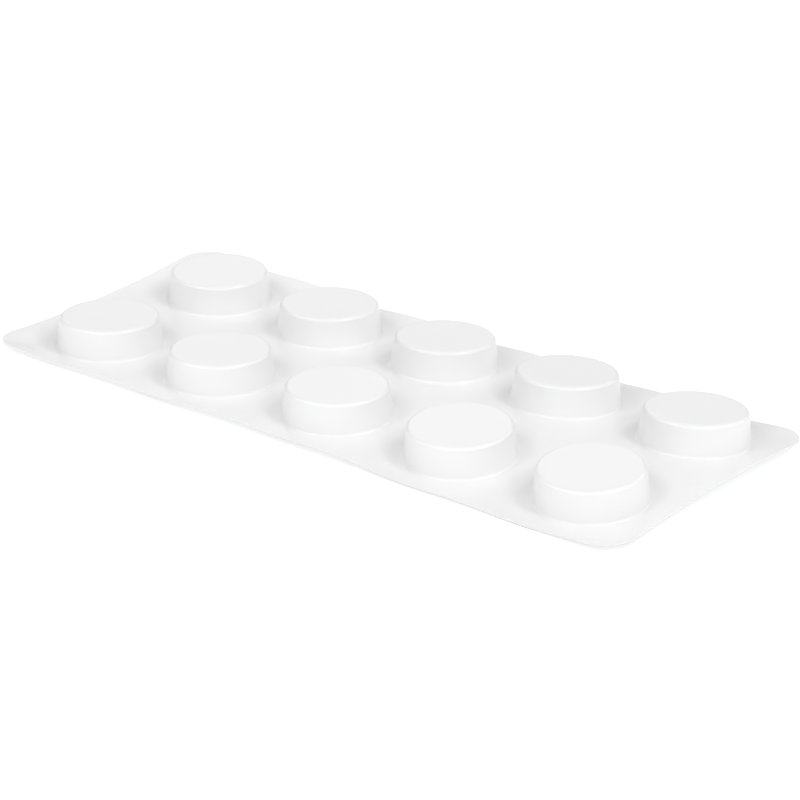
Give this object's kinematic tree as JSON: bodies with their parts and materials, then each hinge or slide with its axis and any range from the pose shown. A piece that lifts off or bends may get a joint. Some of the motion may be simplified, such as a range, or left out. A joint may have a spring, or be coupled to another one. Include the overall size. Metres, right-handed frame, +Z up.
{
  "type": "tablet blister strip",
  "caption": "Flat white blister strip with two rows of round, flat-topped tablet pockets formed up from a thin, slightly warped sheet with rounded corners and a foil underside.",
  "frame": {"origin": "middle of the strip's footprint, on the surface that it lies on", "axes": "+X along the strip, +Y across it, +Z up through the pockets"},
  "size_m": [0.1092, 0.0462, 0.0066],
  "materials": {
    "film": "satin",
    "foil": "satin"
  },
  "bodies": {
    "root": {"blister_strip": "film"}
  },
  "joints": []
}
